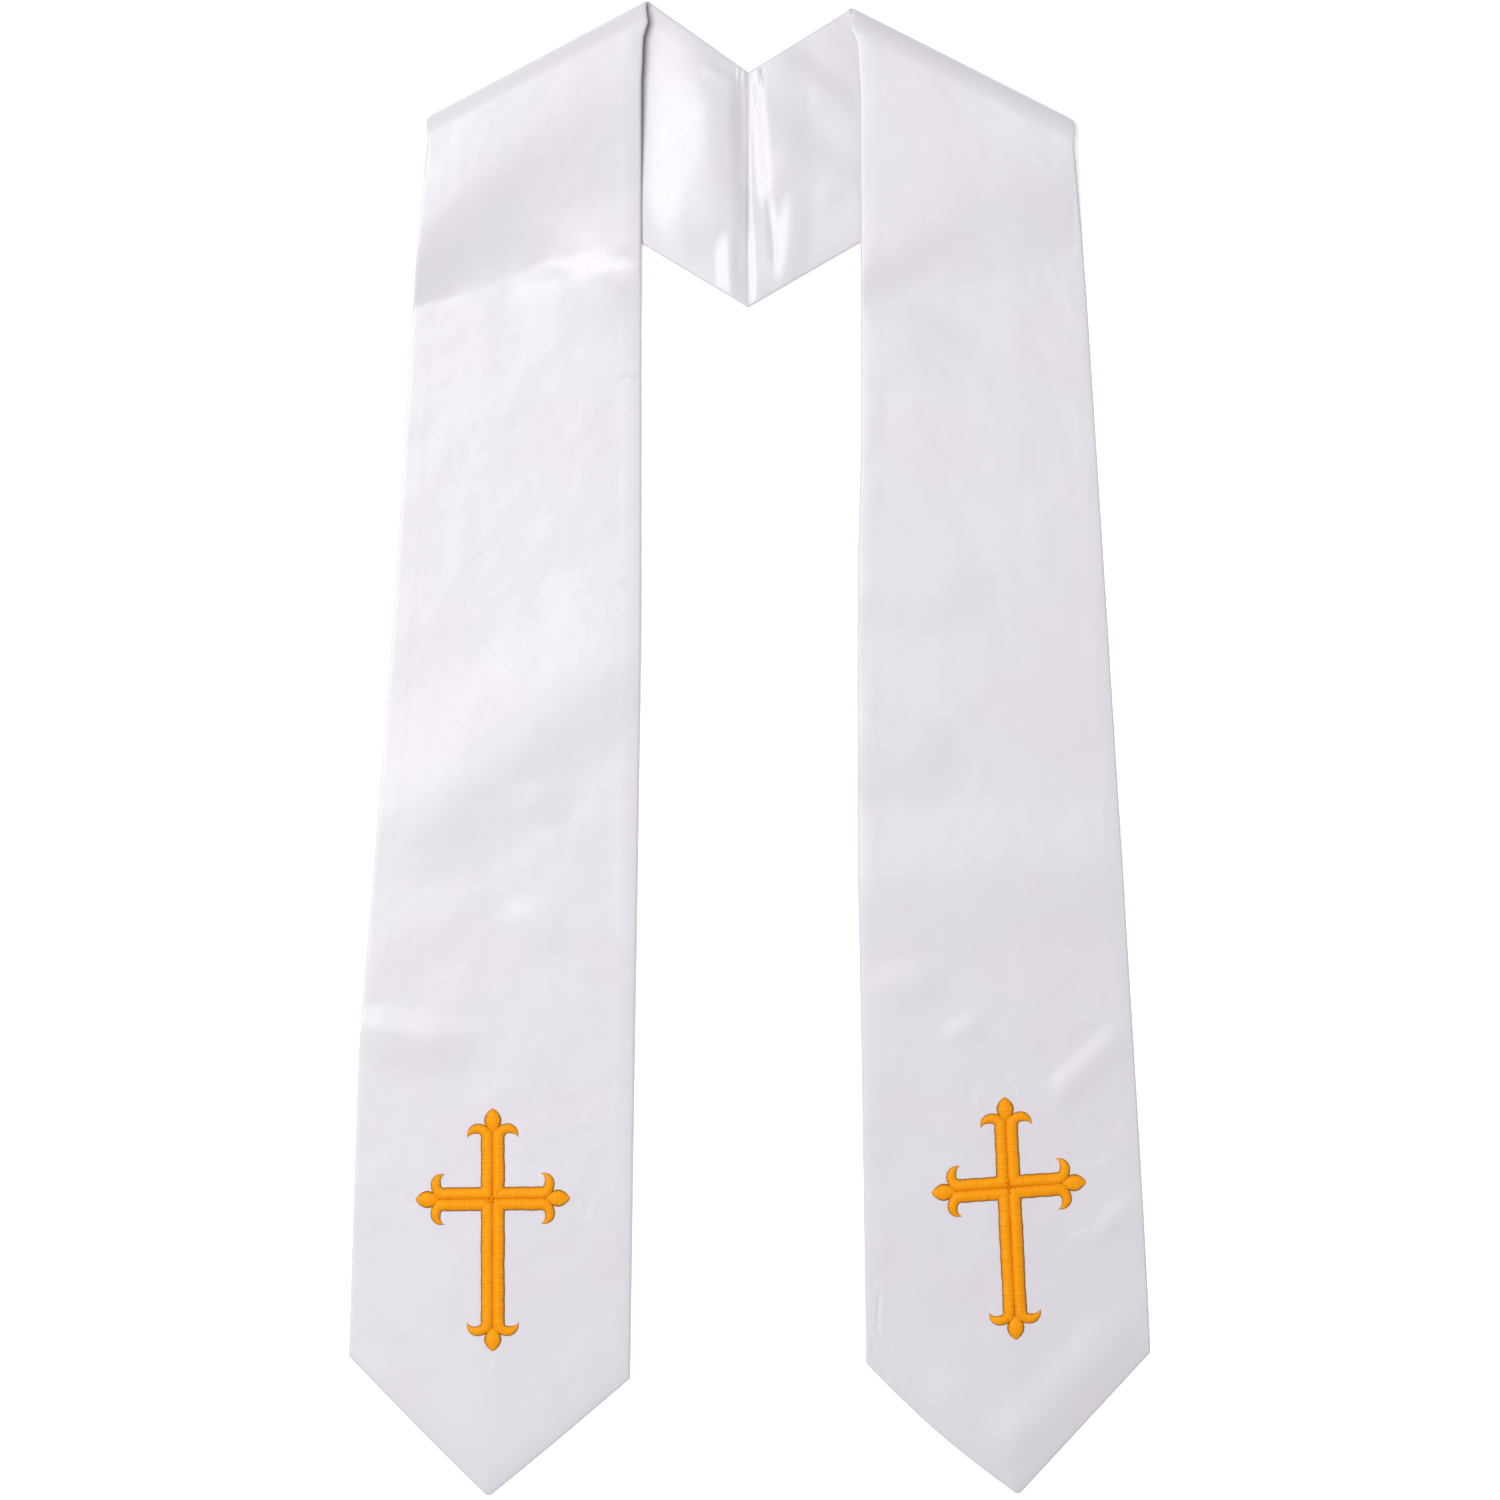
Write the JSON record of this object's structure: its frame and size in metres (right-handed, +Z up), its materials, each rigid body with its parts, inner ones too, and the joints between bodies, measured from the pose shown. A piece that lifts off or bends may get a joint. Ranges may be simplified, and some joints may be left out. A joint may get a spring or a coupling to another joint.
{
  "type": "clerical stole",
  "caption": "Long white satin stole laid flat: lined bands seamed at the centre back, folded at the shoulders, with pointed ends and a raised gold cross on each",
  "frame": {"origin": "middle of the outline, on the surface that the stole lies on", "axes": "+X to the right as seen from above, +Y from the pointed ends to the shoulders, +Z up from the surface"},
  "size_m": [0.4248, 0.793, 0.0115],
  "materials": {
    "satin": "white polyester satin with a soft sheen, interfaced and pressed",
    "lining_satin": "white polyester satin lining, the same cloth as the face",
    "gold_thread": "golden yellow rayon embroidery thread in padded satin stitch"
  },
  "bodies": {
    "root": {"face_left": "satin", "face_right": "satin", "lining_left": "lining_satin", "lining_right": "lining_satin", "cross_left": "gold_thread", "cross_right": "gold_thread"}
  },
  "joints": []
}
